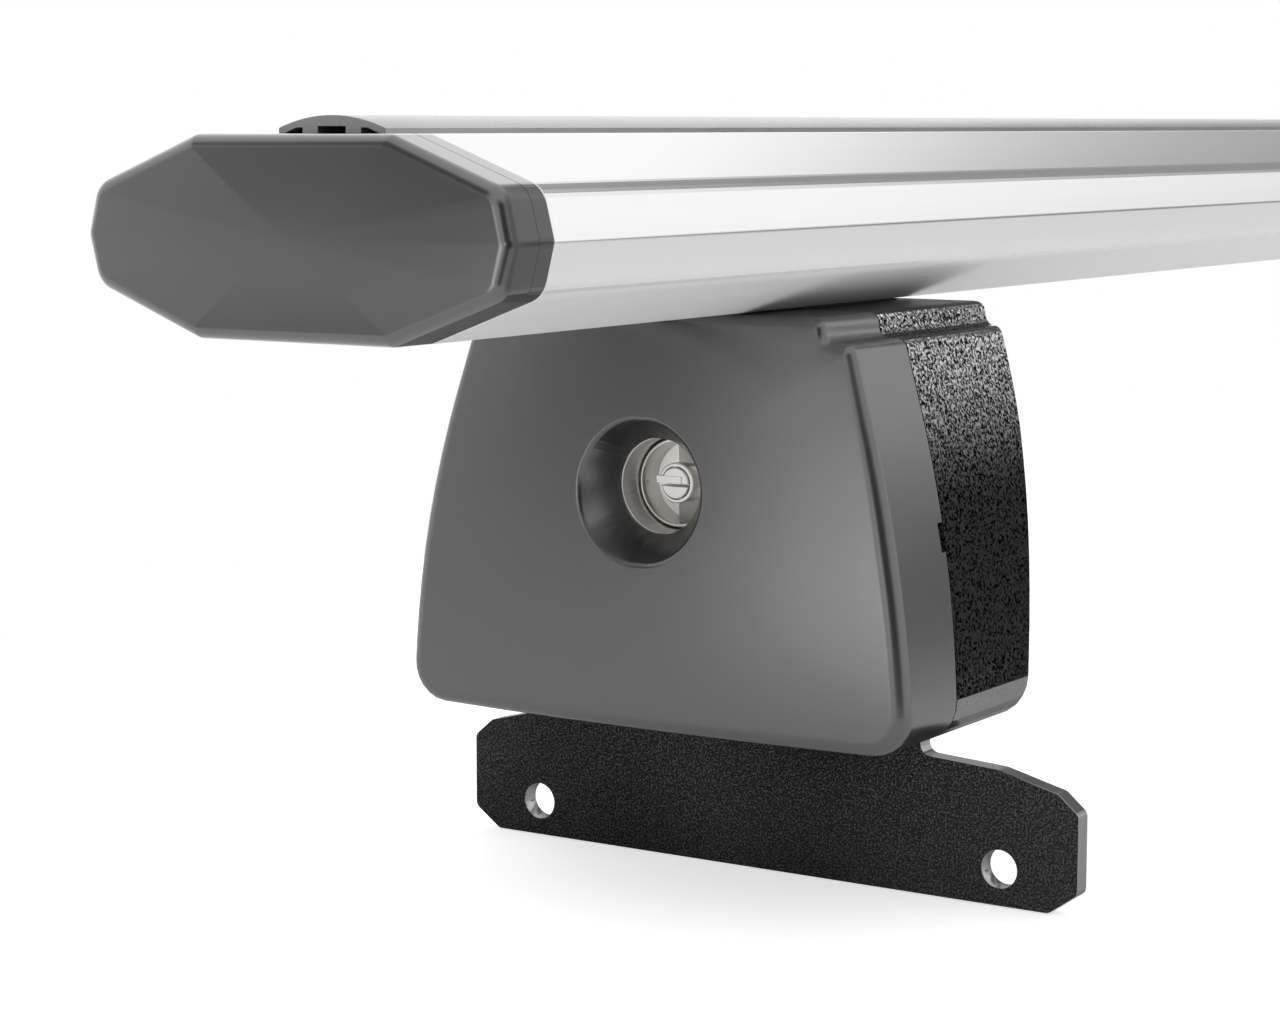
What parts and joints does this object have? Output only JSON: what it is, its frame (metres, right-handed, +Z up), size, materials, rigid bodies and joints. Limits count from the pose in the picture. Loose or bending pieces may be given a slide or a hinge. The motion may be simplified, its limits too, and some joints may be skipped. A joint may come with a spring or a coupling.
{
  "type": "roof rack crossbar",
  "caption": "Aerodynamic aluminium roof crossbar with a rubber strip in its top slot, clamped on feet that have lift-off locking covers and drilled base plates.",
  "frame": {"origin": "under the middle of the bar, level with the lower edges of the two base plates", "axes": "+X along the bar, +Y across it, +Z up; the left foot is at -X"},
  "size_m": [1.26, 0.1306, 0.1397],
  "materials": {
    "bar_aluminium": "satin anodised",
    "strip_rubber": "smooth matt",
    "cap_plastic": "satin moulded",
    "cover_plastic": "satin moulded",
    "black_coat": "textured powder coat",
    "pad_rubber": "matt",
    "seal_rubber": "matt",
    "lock_metal": "satin nickel",
    "plated_steel": "zinc plated",
    "black_zinc": "black zinc plated"
  },
  "bodies": {
    "bar": {"bar": "bar_aluminium", "top_strip": "strip_rubber", "left_end_cap": "cap_plastic", "left_cap_collar": "cap_plastic", "right_end_cap": "cap_plastic", "right_cap_collar": "cap_plastic"},
    "left_foot": {"left_leg": "black_coat", "left_saddle_pad": "pad_rubber", "left_base_bracket": "black_coat", "left_channel_nut": "plated_steel", "left_clamp_bolts": "plated_steel", "left_clamp_washers": "plated_steel", "left_base_bolts": "black_zinc", "left_base_washers": "plated_steel", "left_base_nuts": "plated_steel"},
    "left_cover": {"left_cover": "cover_plastic", "left_lock_sleeve": "lock_metal", "left_lock_seal": "seal_rubber", "left_sleeve_nut": "plated_steel"},
    "left_lock": {"left_lock_plug": "lock_metal", "left_lock_cam": "plated_steel", "left_cam_screw": "plated_steel"},
    "right_foot": {"right_leg": "black_coat", "right_saddle_pad": "pad_rubber", "right_base_bracket": "black_coat", "right_channel_nut": "plated_steel", "right_clamp_bolts": "plated_steel", "right_clamp_washers": "plated_steel", "right_base_bolts": "black_zinc", "right_base_washers": "plated_steel", "right_base_nuts": "plated_steel"},
    "right_cover": {"right_cover": "cover_plastic", "right_lock_sleeve": "lock_metal", "right_lock_seal": "seal_rubber", "right_sleeve_nut": "plated_steel"},
    "right_lock": {"right_lock_plug": "lock_metal", "right_lock_cam": "plated_steel", "right_cam_screw": "plated_steel"}
  },
  "joints": [
    {"name": "left_foot_slide", "type": "slide", "parent": "bar", "child": "left_foot", "axis": [1, 0, 0], "range_m": [-0.05, 0.2]},
    {"name": "left_cover_slide", "type": "slide", "parent": "left_foot", "child": "left_cover", "axis": [-1, 0, 0], "range_m": [0, 0.06]},
    {"name": "left_lock_turn", "type": "hinge", "parent": "left_cover", "child": "left_lock", "pos_m": [-0.5161, 0, 0.0756], "axis": [1, 0, 0], "range_deg": [0, 90]},
    {"name": "right_foot_slide", "type": "slide", "parent": "bar", "child": "right_foot", "axis": [-1, 0, 0], "range_m": [-0.05, 0.2]},
    {"name": "right_cover_slide", "type": "slide", "parent": "right_foot", "child": "right_cover", "axis": [1, 0, 0], "range_m": [0, 0.06]},
    {"name": "right_lock_turn", "type": "hinge", "parent": "right_cover", "child": "right_lock", "pos_m": [0.5161, 0, 0.0756], "axis": [1, 0, 0], "range_deg": [0, 90]}
  ]
}
